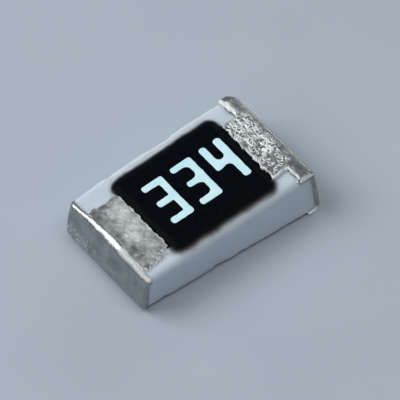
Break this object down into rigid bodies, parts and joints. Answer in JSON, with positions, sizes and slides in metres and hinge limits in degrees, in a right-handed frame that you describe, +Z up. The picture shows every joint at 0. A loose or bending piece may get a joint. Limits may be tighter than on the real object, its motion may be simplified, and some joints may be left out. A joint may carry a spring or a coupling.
{
  "type": "smd chip resistor",
  "caption": "Flat ceramic block with crowned, tin-plated solder ends and a black coat over a printed, laser-trimmed resistor film; limits current on a circuit board.",
  "frame": {"origin": "middle of the plane that the two bottom terminals solder to", "axes": "+X along the chip, from the end beside the first digit to the end beside the last; +Y across it, up the digits; +Z up, out of the marked face"},
  "size_m": [0.0022, 0.0012, 0.0005],
  "materials": {
    "alumina": "matte",
    "silver_print": "matte",
    "resistor_paste": "matte",
    "undercoat_glass": "gloss",
    "black_epoxy": "satin",
    "end_silver": "matte",
    "nickel": "satin",
    "tin": "satin",
    "marking_ink": "matte"
  },
  "bodies": {
    "root": {"alumina_substrate": "alumina", "bottom_pad_left": "silver_print", "bottom_pad_right": "silver_print", "top_pad_left": "silver_print", "top_pad_right": "silver_print", "resistive_film": "resistor_paste", "glass_undercoat": "undercoat_glass", "epoxy_overcoat": "black_epoxy", "end_metal_left": "end_silver", "end_metal_right": "end_silver", "nickel_barrier_left": "nickel", "nickel_barrier_right": "nickel", "tin_plating_left": "tin", "tin_plating_right": "tin"}
  },
  "joints": []
}
